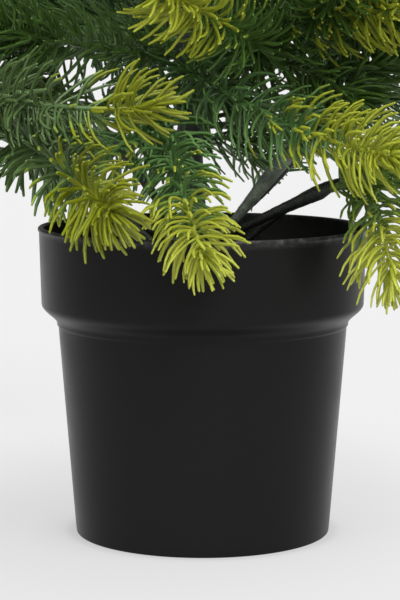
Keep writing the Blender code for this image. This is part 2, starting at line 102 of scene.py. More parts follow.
# Boughs
BOUGH_ROOT_RADIUS = 0.0015
BOUGH_TIP_RADIUS = 0.0036
THICK_BOUGHS = {"right_high": 0.0050}  # the radius of its tip
BOUGH_SWELL_POWER = 0.9
BOUGH_STATIONS = 7
BOUGH_ROOTS = (0.1330, 0.1465)  # the two heights at which boughs leave the trunk, in turn

# Curve of every bough and shoot
BOUGH_LEAD = 0.07  # share of a bough's length that it keeps its first heading for
SHOOT_LEAD = 0.22
BEND_SHARE = 0.62  # share of the way at which a lift and a bow act
SQUARE_START = 0.0020
LIMB_SAMPLES = 200
LINE_UPRIGHT = 0.1  # the sine of the lean under which a line counts as upright

# Crown
CROWN_RADIUS = 0.1850
CROWN_WIDEST = 0.2500
CROWN_TOP = 0.7820

# Shoots in the plan
CORE_RADIUS = 0.0027
STATION_STEP = 0.0143
FEWEST_STATIONS = 5
SHOOT_CLEARANCE = 0.0150
SHOOT_RIM_CLEARANCE = 0.0120

# Each wrapped bough: azimuth of its root, row of BOUGH_ROOTS, then azimuth, distance and height of its
# tip, how far its middle is lifted and how far it bows to its left, all lengths in millimetres
BOUGHS = {
    "right_high": (4, 1, 336, 50, 197, -1, 0),
    "right_low": (316, 1, 326, 74, 176, 2, -1),
    "left_low": (192, 1, 189, 104, 194, 3, 0),
    "left_front": (226, 0, 211, 92, 198, 0, 0),
    "right_back": (28, 0, 18, 84, 174, 20, 8),
    "back_right": (52, 1, 53, 88, 192, 1, -10),
    "back": (92, 0, 92, 92, 190, 2, 0),
    "back_left": (128, 1, 125, 88, 198, 4, 0),
    "left_back": (160, 0, 157, 94, 188, 2, 0),
}

# Each low or middle mass: its bough, or the azimuth and height of its root on the trunk; then its
# shoots. The first shoot is the main one. Each shoot: the share of the main one at which it starts,
# azimuth, distance and height of its tip, lift and bow in millimetres; and how many more are seeded
MASSES = {
    "right_high": ("right_high", [(0, 346, 140, 290, 0, 0), (0.35, 8, 118, 250, 6, 0)], 1),
    "right_low": ("right_low", [(0, 336, 178, 212, 4, 0), (0.10, 319, 117, 140, 16, 0)], 2),
    "left_low": ("left_low", [(0, 184, 188, 216, 2, 0)], 3),
    "left_front": ("left_front", [
        (0, 205, 184, 248, 0, 0), (0.06, 256, 163, 175, 3, -2), (0.32, 260, 127, 219, -5, -19),
    ], 1),
    "right_back": ("right_back", [(0, 16, 186, 214, 4, 0)], 3),
    "back_right": ("back_right", [(0, 60, 180, 226, 4, 0)], 3),
    "back": ("back", [(0, 93, 186, 212, 4, 0), (0.10, 75, 117, 193, -3, 0)], 3),
    "back_left": ("back_left", [(0, 121, 180, 226, 4, 0)], 3),
    "left_back": ("left_back", [(0, 152, 186, 212, 4, 0)], 3),
    "front": ((230, 222), [(0, 270, 113, 151, 9, -8), (0.24, 236, 92, 186, 6, 0)], 0),
    "front_right": ((262, 234), [(0, 308, 138, 196, -12, 0)], 0),
    "front_high": ((306, 249), [(0, 331, 84, 220, 6, 0), (0.40, 261, 120, 269, 4, 0)], 0),
    "right_upper": ((342, 256), [(0, 321, 164, 270, -6, 0), (0.40, 300, 142, 300, 4, 0)], 1),
    "left_upper": ((200, 240), [(0, 204, 176, 262, 2, 0), (0.36, 188, 140, 229, 4, 0)], 2),
    "right_rear": ((30, 248), [(0, 26, 172, 272, 6, 0)], 3),
    "rear": ((80, 240), [(0, 76, 172, 268, 6, 0)], 3),
    "left_rear": ((130, 248), [(0, 134, 172, 272, 6, 0)], 3),
}

# Seeded side shoots
SIDE_SHARE = (0.30, 0.80)
SIDE_SHARE_PLAY = (0.25, 0.75)
SIDE_LENGTH = (0.058, 0.088)
SIDE_LENGTH_ALONG = (1.15, 0.80)
SIDE_ANGLE = (38.0, 56.0)
SIDE_ROLLS = (-14.0, 194.0, 82.0)
SIDE_ROLL_PLAY = 18.0
SIDE_LIFT = (-0.004, 0.006)
SIDE_TRIES = 12
SIDE_FORK_STATIONS = 3
FULL_MAIN = 0.1000

# Upper masses, wound up the trunk by an even turn
UPPER_MASSES = 24
UPPER_LOW = 0.2880
UPPER_HIGH = 0.6200
UPPER_FIRST = 252.0
UPPER_AZIMUTH_PLAY = 6.0
UPPER_RISE = (0.040, 0.075)
UPPER_REACH = (0.92, 1.05)
UPPER_LIFT = -0.0040
UPPER_SIDES = (3, 2)
FEWER_SIDES_ABOVE = 0.4600

# Leader
LEADER_SIDES = 4
LEADER_SIDE_SHARE = (0.14, 0.59)
LEADER_SIDE_LENGTH = (0.058, 0.036)
LEADER_SIDE_OUT = 0.72
LEADER_SIDE_UP = 0.70
LEADER_FIRST = 20.0

# Needles
NEEDLE = 0.0265
NEEDLE_PLAY = 0.09
NEEDLE_CUT = (0.80, 1.15)  # the least and the most that the play makes of a length
NEEDLE_HALF_WIDTH = 0.00098
NEEDLE_HALF_THICKNESS = 0.00078
GRADES = {  # needles to the metre, their sides and their width at each ring, as a share of the widest
    "front": (2250, 4, (0.55, 0.85, 1.0, 1.0, 0.90, 0.62)),
    "low": (1900, 3, (0.58, 0.95, 1.0, 0.92, 0.62)),
    "upper": (1450, 3, (0.58, 1.0, 0.96, 0.62)),
}
NEEDLE_FACING = 0.25  # share of a side that its section is turned by
NEEDLE_END = 0.0006
LEAN = 6.0  # degrees from square to the stem, towards its tip, where the needle leaves it
LEAN_UP = -7.0  # more on the needles that grow upwards, less on the hanging ones
LEAN_TIP = 40.0
LEAN_PLAY = 6.0
BEND = 64.0  # degrees that the needle then bends towards the tip
BEND_UP = 13.0
BEND_PLAY = 8.0
BEND_POWER = 1.1
NO_BEND = 110.0  # the lean at which nothing would be left of the bend
ASIDE_PLAY = 9.0
WAVE = 5.0  # degrees that it then bends back, as an S
WAVE_PLAY = 6.0
ROUND_PLAY = 0.30
TIP_STRETCH = 0.86  # share of a shoot after which its needles lean more and more forward
TIP_NEEDLES = 10
TIP_LEAN = (20.0, 84.0)
TIP_LENGTH = 0.66
BARE_ROOT = 0.0015
SHORT_ROOT = 0.0110  # over this stretch past the bare root the needles grow to full length
ROOT_LENGTH = 0.72
TWIG_NEEDLE = 0.90
RIM_MARGIN = 0.0016
LIMB_MARGIN = 0.0009
STEM_MARGIN = 0.0010

# Where sky shows between the needles: radii, and the places that have them, in pixels of the picture
OPENINGS = {
    0.5: ((172, 60), (370, 57), (344, 84), (57, 169), (36, 155)),
    0.7: (
        (18, 51), (40, 46), (66, 46), (170, 78), (230, 51), (240, 77), (254, 90), (269, 87), (277, 71),
        (295, 75), (301, 71), (307, 55), (292, 42), (361, 52), (278, 113), (249, 126), (92, 126),
        (115, 159), (106, 158), (127, 175),
    ),
    0.8: (
        (82, 60), (62, 66), (84, 101), (106, 88), (65, 82), (66, 88), (56, 78), (47, 76), (62, 76),
        (57, 87), (76, 88), (102, 83), (112, 87), (111, 105), (69, 102), (80, 108), (96, 121), (110, 127),
        (112, 117), (91, 102), (179, 84),
    ),
    1.0: (
        (75, 71), (97, 98), (89, 68), (94, 71), (80, 76), (116, 131), (132, 132), (187, 130), (224, 131),
        (228, 140), (322, 182), (364, 207), (3, 136), (136, 151), (180, 87), (87, 71), (45, 76), (166, 72),
        (250, 72), (393, 92), (168, 115), (176, 127),
    ),
    1.5: ((75, 61), (96, 86), (95, 92), (172, 106), (221, 112), (222, 119)),
    2.0: ((68, 62), (213, 132), (285, 92), (390, 196), (39, 185)),
    2.5: ((105, 129), (334, 176)),
    3.0: ((320, 162), (321, 170), (215, 202), (3, 144), (236, 192)),
    4.0: ((277, 198), (300, 184)),
    5.0: ((304, 178), (247, 187)),
    6.0: ((270, 203),),
    8.0: ((286, 190),),
}
OPENING_MARGIN = 1.0  # for the width of a needle

# Twigs on the planned shoots, but for the long clean shoots at the front
CLEAN_MASSES = {
    "front", "front_right", "front_high", "left_front",
    "left_upper", "right_upper", "right_low", "right_high",
}
TWIG_STEP = 0.0290
TWIG_SHARE = (0.16, 0.80)
TWIG_SHARE_PLAY = (0.3, 0.7)
TWIG_LENGTH = (0.030, 0.044)
TWIG_LENGTH_ALONG = (1.10, 0.85)
TWIG_ANGLE = (34.0, 48.0)
TWIG_ROLL_PLAY = 32.0
TWIG_UPRIGHT = 0.2  # the same for a shoot that gets twigs
TWIG_STATIONS = 4
TWIG_CLEARANCE = 0.0055
TWIG_RIM_CLEARANCE = 0.0100

# Stems
STEM_ROOT_RADIUS = 0.0019
STEM_TIP_RADIUS = 0.0009
STEM_SIDES = 7
STEM_STEP = 0.0040

# Where lime growth starts, as a share of the shoot's length, and its shade, on the shoots in the photo
DARK = (None, "lime")  # where none grows
LIME_FROM = {
    # lime_pale on this lit front shoot is partly painted light
    ("front", 0): (0.70, "lime_pale"),
    ("front", 1): (0.76, "lime"),
    ("front_right", 0): (0.65, "lime"),
    ("front_high", 1): (0.52, "lime"),
    ("right_upper", 0): (0.44, "lime"),
    # lime_pale on this lit shoot is partly painted light
    ("right_low", 1): (0.50, "lime_pale"),
    # lime_deep on these left shoots is partly painted shade, partly their own more golden tone
    ("left_front", 1): (0.66, "lime_deep"),
    ("left_front", 2): (0.70, "lime_deep"),
    **dict.fromkeys([("front_high", 0), ("left_front", 0), ("left_low", 0), ("left_upper", 0)], DARK),
    **dict.fromkeys([("left_upper", 1), ("right_high", 0), ("right_high", 1), ("right_low", 0)], DARK),
}
LIME_CHANCE = 0.62
LIME_START = (0.50, 0.72)
LIME_BLEND = 0.32
LIME_PLAY = 0.055

# A twig's own start of lime: its share where the shoot itself turns lime, how much sooner it starts
# further along the shoot, its play, and the last share at which it still starts
TWIG_LIME = 0.5
TWIG_LIME_GAIN = 2.0
TWIG_LIME_PLAY = 0.1
TWIG_LIME_LAST = 0.95

# Needles' and stems' shades: base colour and roughness. All noise: cells to the metre, detail and, where
# it isn't the usual one, roughness. All grains: cells to the metre, detail, height and strength
NOISE_ROUGHNESS = 0.55
SHADES = {
    "green_cool": ((0.108, 0.220, 0.060), 0.38),
    "green_warm": ((0.136, 0.224, 0.040), 0.40),
    "green_deep": ((0.080, 0.165, 0.028), 0.38),
    # a darker, greyer copy of the greens, as painted shade
    "green_dim": ((0.088, 0.150, 0.046), 0.40),
    "green_mid": ((0.200, 0.285, 0.036), 0.44),
    "lime": ((0.330, 0.372, 0.026), 0.44),
    # paler and darker copies of the lime, partly painted light and painted shade where shoots get them by
    # name
    "lime_pale": ((0.405, 0.445, 0.044), 0.44),
    "lime_deep": ((0.205, 0.236, 0.004), 0.46),
}
DARK_SHADES = ("green_cool", "green_warm", "green_deep")
OWN_DARK = {  # the dark shade of the masses that stand out in the photo
    "front": "green_cool",
    "front_right": "green_cool",
    # painted shade: the dim green on the left masses, which lie in shade
    "left_front": "green_dim",
    "left_low": "green_dim",
    # the deep green on these masses is partly painted shade
    "left_upper": "green_deep",
    "front_high": "green_deep",
    "right_high": "green_deep",
}
NEEDLE_IOR = 1.54
NEEDLE_GRAIN = (900.0, 2.0, 0.0001, 0.12)
MID_SHADE = "green_mid"
LIME_SHADES = ("lime", "lime_pale")
PIECE_TRIANGLES = 180000

# Tape on the trunk and the boughs
TAPE_RIB = 0.00110
TAPE_RIB_DEPTH = 0.00018
TAPE_LAP = 0.0062
TAPE_COLOURS = ((0.30, (0.024, 0.030, 0.024)), (0.55, (0.045, 0.053, 0.042)), (0.78, (0.095, 0.104, 0.082)))
TAPE_LAP_DEPTH = 0.00016
TAPE_NOISE = (160.0, 4.0, 0.6)
TAPE_ROUGHNESS = 0.50
TAPE_GRAIN = (2600.0, 2.0, 0.00008, 0.5)
TAPE_SHADE_AND_LIGHT_TONES = (0.42, 4.8)  # of the boughs' tape, darker as painted shade, and of the lit boughs', paler as painted light
LOBE_TURN = 9.0  # radians that the stems in the tape wind to the metre
LOBE_MEAN = 0.64
TRUNK_LOBES = 0.02  # how far the stems swell the tape, as a share of the radius
BOUGH_LOBES = 0.10
TAPE_END_SLOPE = 0.26  # a limb thins to the stem of its shoot by this much a length
BOUGH_SIDES = 16
# Boughs whose tape is painted much paler, as painted light where they are lit
PAINTED_LIGHT_BOUGHS = {"right_high", "left_low", "left_front"}
RINGS_PER_RIB = 4
TRUNK_SIDES = 24
TRUNK_RING_STEP = 0.0007

# The pot's plastic, with fine pale dust, painted paler on the inside as painted light in the shaded mouth,
# and with a painted highlight, partly wear, round the lip's top
POT_DUST = (850.0, 1.0)
POT_BLACK = (0.0078, 0.0078, 0.0077)
POT_COLOURS = ((0.0, POT_BLACK), (0.76, POT_BLACK), (0.84, (0.026, 0.026, 0.024)))
# painted light: the inside is painted paler where the mouth lies in shade
POT_INSIDE_PAINTED_LIGHT = (0.052, 0.052, 0.049, 1.0)
POT_INWARD = (-0.010, -0.030)  # how far a face looks at the axis where the inside's painted light starts and is full
POT_IOR = 1.20
POT_MOTTLE = (45.0, 5.0)
POT_MOTTLE_SPAN = (0.3, 0.7)
POT_ROUGHNESS = (0.28, 0.36)
POT_GRAIN = (1500.0, 3.0, 0.0001, 0.20)
# Pale streaks round the lip's top: a painted highlight, partly wear
LIP_HIGHLIGHT_AND_WEAR_NOISE = (330.0, 3.0, 0.7)
LIP_HIGHLIGHT_AND_WEAR_HEIGHTS = (0.1500, 0.1545)  # the heights between which the lip turns pale, as a painted highlight and partly wear
LIP_HIGHLIGHT_AND_WEAR_COLOURS = ((0.30, (0.014, 0.014, 0.014)), (0.52, (0.040, 0.040, 0.039)), (0.72, (0.110, 0.109, 0.105)))

# The plug is cast, dark and rough
PLUG_NOISE = (240.0, 6.0, 0.6)
PLUG_COLOURS = ((0.35, (0.010, 0.009, 0.008)), (0.70, (0.032, 0.029, 0.025)))
PLUG_ROUGHNESS = 0.92
PLUG_GRAIN = (240.0, 6.0, 0.0008, 0.8, 0.6)

# Camera and light
CAMERA_PLACE = (-0.00133, -1.0826, 0.2517)
CAMERA_DOWN = 7.08
CAMERA_LENS = 130.06
CAMERA_FAR = 100.0
SENSOR = 36.0
PICTURE = (400, 600)
BACKDROP_LIGHT = 0.864
ROOM_LIGHT = (0.07, 0.30)  # towards the camera's side and away from it
ROOM_TURN = (-0.7, 0.4)
FLOOR_REACH = 30.0
FLOOR_TONE = 0.10
FLOOR_ROUGHNESS = 0.9
FLOOR_SHADE = (-0.035, -0.010, 0.0)  # the middle of the painted soft shadow under the pot
FLOOR_GLOW = (  # the lit sweep's own glow at distances from there, dimmer near the pot as painted shadow
    (0.029, 0.59), (0.044, 0.61), (0.057, 0.63), (0.092, 0.65), (0.127, 0.675),
    (0.145, 0.69), (0.168, 0.70), (0.26, 0.755), (0.30, 0.765), (0.45, 0.735),
)
FOOT_SHADE = ((0.0655, 0.80), (0.0685, 0.945), (0.0750, 0.99), (0.0900, 1.0))  # painted contact shadow close round the pot's foot
LIGHTS = {  # azimuth, height over the horizon and spread in degrees, and power
    "key_light": (300.0, 48.0, 26.0, 2.55),
    "side_light": (218.0, 44.0, 32.0, 1.80),
    "front_light": (276.0, 24.0, 24.0, 0.80),
    "back_light": (75.0, 55.0, 50.0, 0.70),
}
LIGHT_DISTANCE = 3.0


def polar(azimuth, distance, height):
    """A point from its azimuth in degrees, its distance from the pot's axis and its height."""
    turn = math.radians(azimuth)
    return Vector((distance * math.cos(turn), distance * math.sin(turn), height))


def outward(azimuth):
    return polar(azimuth, 1.0, 0.0)


def blend(low, high, share):
    return low + (high - low) * share


def as_array(points):
    return np.array([tuple(point) for point in points])


def path_steps(points):
    return [(b - a).length for a, b in zip(points, points[1:])]


def along(points, share):
    """The point and the heading at a share of a polyline's length."""
    steps = path_steps(points)
    left = share * sum(steps)
    for step, a, b in zip(steps, points, points[1:]):
        if left <= step or b is points[-1]:
            return a + (b - a) * min(1.0, left / step), (b - a).normalized()
        left -= step


def last_heading(points):
    return (points[-1] - points[-2]).normalized()


def nearest(points, starts, ends):
    """The distance from each point to each segment, as a table."""
    step = ends - starts
    squared = (step * step).sum(axis=1)
    offset = points[:, None, :] - starts[None, :, :]
    share = np.clip((offset * step[None, :, :]).sum(axis=2) / squared[None, :], 0.0, 1.0)
    return np.linalg.norm(offset - share[:, :, None] * step[None, :, :], axis=2)


def unit(vectors):
    return vectors / np.linalg.norm(vectors, axis=-1, keepdims=True)


class Limb:
    """A smooth limb from start, which it leaves along heading, to end."""

    def __init__(self, start, heading, end, lift, bow, stations, lead):
        reach = end - start
        left = UP.cross(reach).normalized()
        first = start + heading * lead * reach.length
        second = start + reach * BEND_SHARE + UP * lift + left * bow
        self.controls = (start, first, second, end)
        self.points = [start, start + heading * SQUARE_START]
        for index in range(1, stations):
            self.points.append(self.place(index / (stations - 1)))

    def place(self, t):
        start, first, second, end = self.controls
        s = 1.0 - t
        return start * s**3 + first * 3.0 * s * s * t + second * 3.0 * s * t * t + end * t**3

    def even(self, step):
        """Points an even step apart along the limb, and the whole length."""
        rough = as_array([self.place(index / LIMB_SAMPLES) for index in range(LIMB_SAMPLES + 1)])
        gone = np.concatenate([[0.0], np.cumsum(np.linalg.norm(np.diff(rough, axis=0), axis=1))])
        count = max(2, round(gone[-1] / step) + 1)
        return interpolate(np.linspace(0.0, gone[-1], count), gone, rough), gone[-1]


def trunk_place(height):
    """The trunk's middle at a height: upright at the foot, bowed to the left, straight on top."""
    rise = max(0.0, height - TRUNK_FOOT - TRUNK_UPRIGHT) / TRUNK_BOW_HEIGHT
    return Vector((-TRUNK_BOW * rise * math.exp(1.0 - rise), 0.0, height))


def trunk_line():
    """The trunk's middle as the solids have it."""
    bend_foot = TRUNK_FOOT + TRUNK_UPRIGHT
    points = [trunk_place(TRUNK_FOOT), trunk_place(bend_foot)]
    for index in range(1, TRUNK_STATIONS):
        share = (index / (TRUNK_STATIONS - 1)) ** TRUNK_STATION_POWER
        points.append(trunk_place(blend(bend_foot, TRUNK_TOP, share)))
    return points


def trunk_centre(height):
    points = trunk_line()
    for low, high in zip(points, points[1:]):
        if height <= high.z:
            return blend(low, high, (height - low.z) / (high.z - low.z))
    return points[-1]


def trunk_radius(height):
    return blend(TRUNK_FOOT_RADIUS, TRUNK_TOP_RADIUS, (height - PLUG_TOP) / (TRUNK_TOP - PLUG_TOP))


def trunk_seat(azimuth, height):
    """Where a limb's root stands off the trunk, and the way it leaves."""
    heading = outward(azimuth)
    return trunk_centre(height) + heading * (trunk_radius(height) + GAP), heading


def bough_tip_radius(name):
    return THICK_BOUGHS.get(name, BOUGH_TIP_RADIUS)


def given_tip(row):
    """Where a row's bough or shoot ends, its lift and its bow, all in metres."""
    distance, height, lift, bow = (value / 1000.0 for value in row[-4:])
    return polar(row[-5], distance, height), lift, bow


def plan_bough(row):
    start, heading = trunk_seat(row[0], BOUGH_ROOTS[row[1]])
    return Limb(start, heading, *given_tip(row), BOUGH_STATIONS, BOUGH_LEAD)


def plan_shoot(start, heading, end, lift, bow, stations=None):
    stations = stations or max(FEWEST_STATIONS, round((end - start).length / STATION_STEP) + 1)
    return Limb(start, heading, end, lift, bow, stations, SHOOT_LEAD)


def plan_side(main, share, end, lift=0.0, bow=0.0, stations=None):
    """A side shoot from inside its main one, leaving it at half the turn towards its own tip."""
    start, heading = along(main.points, share)
    way = (heading + (end - start).normalized()).normalized()
    return plan_shoot(start, way, end, lift, bow, stations)


def turned(heading, right, roll, angle):
    """A heading turned by an angle in degrees, towards the side that roll gives."""
    roll, angle = math.radians(roll), math.radians(angle)
    aside = right * math.cos(roll) + right.cross(heading) * math.sin(roll)
    return heading * math.cos(angle) + aside * math.sin(angle)


def seeded_end(main, share, roll, rng):
    """Where a seeded side shoot ends: turned off the main one to the side that roll gives."""
    start, heading = along(main.points, share)
    length = rng.uniform(*SIDE_LENGTH) * blend(*SIDE_LENGTH_ALONG, share)
    length *= min(1.0, sum(path_steps(main.points)) / FULL_MAIN)
    angle = rng.uniform(*SIDE_ANGLE)
    roll += rng.uniform(-SIDE_ROLL_PLAY, SIDE_ROLL_PLAY)
    return start + turned(heading, heading.cross(UP).normalized(), roll, angle) * length


def clear_of_rim(place, margin):
    """Whether a place, or each of a row of them, is above the pot or outside its lip by a margin."""
    x, y, z = np.asarray(place).T
    return (z > POT_HEIGHT + margin) | (np.hypot(x, y) > LIP_RADIUS + margin)


def own_draws(name):
    """The random draws of one mass, which don't depend on the other masses."""
    return random.Random(f"{SEED} {name}")


class Layout:
    """Every limb and shoot of the plan, as segments with their owner and radius."""

    def __init__(self):
        self.segments = []

    def add(self, points, radius, mass):
        """Adds a shoot of a mass, or with no mass a limb."""
        for a, b in zip(points, points[1:]):
            self.segments.append((tuple(a), tuple(b), radius, mass))

    def pick(self, chosen):
        """The starts, ends and radii of the segments whose owner chosen says yes to."""
        rows = [row for row in self.segments if chosen(row[3])]
        return tuple(np.array([row[column] for row in rows]) for column in range(3))

    def room_round(self, points, mass):
        """The least distance from a planned shoot to whatever its own mass doesn't hold."""
        starts, ends, radii = self.pick(lambda other: other != mass)
        return (nearest(as_array(points), starts, ends) - radii[None, :]).min()


def plan_mass(name, root, heading, given, seeded, rng, layout):
    """The shoots of one mass: the given ones, then the seeded ones that find room."""
    main = plan_shoot(root, heading, *given[0][1:])
    shoots = [main, *(plan_side(main, *row) for row in given[1:])]
    for shoot in shoots:
        layout.add(shoot.points, CORE_RADIUS, name)
    first_roll = rng.randrange(len(SIDE_ROLLS))
    for index in range(seeded):
        roll = SIDE_ROLLS[(first_roll + index) % len(SIDE_ROLLS)]
        for _ in range(SIDE_TRIES):
            share = blend(*SIDE_SHARE, (index + rng.uniform(*SIDE_SHARE_PLAY)) / seeded)
            end = seeded_end(main, share, roll, rng)
            side = plan_side(main, share, end, rng.uniform(*SIDE_LIFT))
            room = layout.room_round(side.points[SIDE_FORK_STATIONS:], name)
            if room > SHOOT_CLEARANCE and clear_of_rim(end, SHOOT_RIM_CLEARANCE):
                shoots.append(side)
                layout.add(side.points, CORE_RADIUS, name)
                break
    return shoots


def plan_upper_mass(name, index, rng, layout):
    """One mass of the spiral round the upper trunk, shorter the higher it stands."""
    azimuth = UPPER_FIRST + EVEN_TURN * index
    azimuth += rng.uniform(-UPPER_AZIMUTH_PLAY, UPPER_AZIMUTH_PLAY)
    root_height = blend(UPPER_LOW, UPPER_HIGH, index / (UPPER_MASSES - 1))
    root, heading = trunk_seat(azimuth, root_height)
    tip_height = root_height + rng.uniform(*UPPER_RISE)
    narrowing = (CROWN_TOP - tip_height) / (CROWN_TOP - CROWN_WIDEST)
    distance = CROWN_RADIUS * narrowing * rng.uniform(*UPPER_REACH)
    given = [(0.0, polar(azimuth, distance, tip_height), UPPER_LIFT, 0.0)]
    seeded = UPPER_SIDES[root_height >= FEWER_SIDES_ABOVE]
    return plan_mass(name, root, heading, given, seeded, rng, layout)


def plan_leader(trunk, rng, layout):
    """The upright shoot on the trunk's tip, with side shoots that reach up round it."""
    heading = last_heading(trunk)
    given = [(0.0, Vector((0.0, 0.0, CROWN_TOP)), 0.0, 0.0)]
    shoots = plan_mass("leader", trunk[-1] + heading * GAP, heading, given, 0, rng, layout)
    for index in range(LEADER_SIDES):
        place = index / (LEADER_SIDES - 1)
        share = blend(*LEADER_SIDE_SHARE, place)
        length = blend(*LEADER_SIDE_LENGTH, place)
        way = outward(LEADER_FIRST + EVEN_TURN * index) * LEADER_SIDE_OUT + UP * LEADER_SIDE_UP
        start, _ = along(shoots[0].points, share)
        shoots.append(plan_side(shoots[0], share, start + way * length))
        layout.add(shoots[-1].points, CORE_RADIUS, "leader")
    return shoots


def plan_tree():
    """The boughs and the masses' shoots by name, and the layout of them all."""
    layout = Layout()
    trunk = trunk_line()
    layout.add(trunk, TRUNK_FOOT_RADIUS, None)
    boughs = {name: plan_bough(row) for name, row in BOUGHS.items()}
    for name, bough in boughs.items():
        layout.add(bough.points, bough_tip_radius(name), None)
    masses = {}
    for name, (carrier, rows, seeded) in MASSES.items():
        if carrier in boughs:
            points = boughs[carrier].points
            heading = last_heading(points)
            root = points[-1] + heading * GAP
        else:
            root, heading = trunk_seat(carrier[0], carrier[1] / 1000.0)
        given = [(row[0], *given_tip(row)) for row in rows]
        masses[name] = plan_mass(name, root, heading, given, seeded, own_draws(name), layout)
    for index in range(UPPER_MASSES):
        name = f"upper_{index + 1:02d}"
        masses[name] = plan_upper_mass(name, index, own_draws(name), layout)
    masses["leader"] = plan_leader(trunk, own_draws("leader"), layout)
    return boughs, masses, layout


def add_object(name, data):
    thing = bpy.data.objects.new(name, data)
    bpy.context.scene.collection.objects.link(thing)
    return thing


def add_mesh(name, points, faces, material, nodes):
    """A smooth piece that rides on the one body and stands for the given nodes."""
    mesh = bpy.data.meshes.new(name)
    mesh.from_pydata(points.tolist(), [], faces)
    mesh.update()
    mesh.shade_smooth()
    mesh.materials.append(material)
    piece = add_object(name, mesh)
    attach(piece, "root")
    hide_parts(*nodes)


def frames_along(points):
    """A line's headings, and two directions across it that turn as little as they can."""
    headings = unit(np.gradient(points, axis=0))
    across = np.empty_like(points)
    first = np.cross(headings[0], (0.0, 0.0, 1.0))
    if np.linalg.norm(first) < LINE_UPRIGHT:
        first = np.cross(headings[0], (1.0, 0.0, 0.0))
    across[0] = first / np.linalg.norm(first)
    for index in range(1, len(points)):
        way = across[index - 1] - headings[index] * across[index - 1].dot(headings[index])
        across[index] = way / np.linalg.norm(way)
    return headings, across, np.cross(headings, across)


def band(ring, sides):
    """The quads between a ring of points and the next one."""
    first = ring * sides
    around = [(first + side, first + (side + 1) % sides) for side in range(sides)]
    return [(a, b, b + sides, a + sides) for a, b in around]


def bands(rings, sides):
    return [face for ring in range(rings - 1) for face in band(ring, sides)]


def end_fans(rings, sides):
    """Triangles that close rings at both ends, to the two points that follow them."""
    middle, last = rings * sides, (rings - 1) * sides
    around = [(side, (side + 1) % sides) for side in range(sides)]
    return [fan for a, b in around for fan in ((middle, b, a), (middle + 1, last + a, last + b))]


def tube(points, sides, reach):
    """Rings of points round a line, as far off it as reach gives for each side."""
    _, across, over = frames_along(points)
    mesh = np.empty((len(points), sides, 3))
    for side in range(sides):
        turn = 2.0 * math.pi * side / sides
        way = across * math.cos(turn) + over * math.sin(turn)
        mesh[:, side] = points + way * reach(side)[:, None]
    return mesh.reshape(-1, 3)


class Batch:
    """Needles or stems of one shade, gathered from all masses and cut into pieces."""

    def __init__(self, kind, shade):
        self.kind, self.shade = kind, shade
        self.pieces, self.count = [], PIECE_TRIANGLES

    def add(self, points, faces, mass):
        """Takes the faces, rows of point numbers with -1 where a row has only three, and their points."""
        real = faces >= 0
        used, numbers = np.unique(faces[real], return_inverse=True)
        rows = np.full(faces.shape, -1)
        rows[real] = numbers
        triangles = int(real[:, 3].sum() + len(faces))
        if self.count + triangles > PIECE_TRIANGLES:
            self.pieces.append([])
            self.count = 0
        self.pieces[-1].append((points[used], rows, mass))
        self.count += triangles

    def build(self, material):
        for number, parts in enumerate(self.pieces, 1):
            faces = []
            offset = 0
            for own, rows, _ in parts:
                moved = rows + np.where(rows >= 0, offset, 0)
                faces += [row if row[3] >= 0 else row[:3] for row in moved.tolist()]
                offset += len(own)
            points = np.concatenate([part[0] for part in parts])
            nodes = sorted({f"needles_{part[2]}" for part in parts})
            add_mesh(f"{self.kind}_{self.shade}_{number}", points, faces, material, nodes)


class Needles:
    """All needles of one shoot, as arrays with a row for each needle."""

    def __init__(self, points, length, grade, scale, rng):
        per_metre, self.sides, outline = GRADES[grade]
        self.outline = np.array(outline)
        count = int((length - BARE_ROOT) * per_metre)
        place = BARE_ROOT + (length - BARE_ROOT) * (np.arange(count) + rng.uniform(0, 1, count)) / count
        place = np.concatenate([place, np.full(TIP_NEEDLES, length)])
        self.share = place / length
        total = len(place)
        gone = np.linspace(0.0, length, len(points))
        headings, across, over = frames_along(points)
        self.foot = interpolate(place, gone, points)
        self.heading = unit(interpolate(place, gone, headings))
        turn = np.arange(total) * math.radians(EVEN_TURN) + rng.normal(0.0, ROUND_PLAY, total)
        across = interpolate(place, gone, across)
        over = interpolate(place, gone, over)
        self.square = unit(across * np.cos(turn)[:, None] + over * np.sin(turn)[:, None])
        forward = np.clip((self.share - TIP_STRETCH) / (1.0 - TIP_STRETCH), 0.0, 1.0)
        lean = blend(LEAN, LEAN_TIP, forward) + rng.normal(0.0, LEAN_PLAY, total)
        lean += LEAN_UP * self.square[:, 2]
        lean[count:] = rng.uniform(*TIP_LEAN, TIP_NEEDLES)
        bend = BEND + BEND_UP * self.square[:, 2] + rng.normal(0.0, BEND_PLAY, total)
        bend *= 1.0 - np.clip(lean, 0.0, 90.0) / NO_BEND
        side = rng.normal(0.0, ASIDE_PLAY, total)
        wave = rng.normal(WAVE, WAVE_PLAY, total)
        self.shape = needle_shape(*np.radians([lean, bend, side, wave]), len(self.outline))
        grown = np.clip((place - BARE_ROOT) / SHORT_ROOT, 0.0, 1.0)
        self.length = NEEDLE * scale * blend(ROOT_LENGTH, 1.0, grown) * blend(1.0, TIP_LENGTH, forward)
        self.length *= np.clip(1.0 + rng.normal(0.0, NEEDLE_PLAY, total), *NEEDLE_CUT)

    def keep(self, chosen):
        for name in ("share", "foot", "heading", "square", "length", "shape"):
            setattr(self, name, getattr(self, name)[chosen])

    def rings(self):
        """The middle of each ring of each needle."""
        axes = np.stack([self.square, self.heading, np.cross(self.square, self.heading)], axis=1)
        offsets = np.einsum("nrk,nkx->nrx", self.shape, axes) * self.length[:, None, None]
        return self.foot[:, None, :] + offsets


def interpolate(places, gone, rows):
    return np.stack([np.interp(places, gone, rows[:, axis]) for axis in range(3)], axis=1)


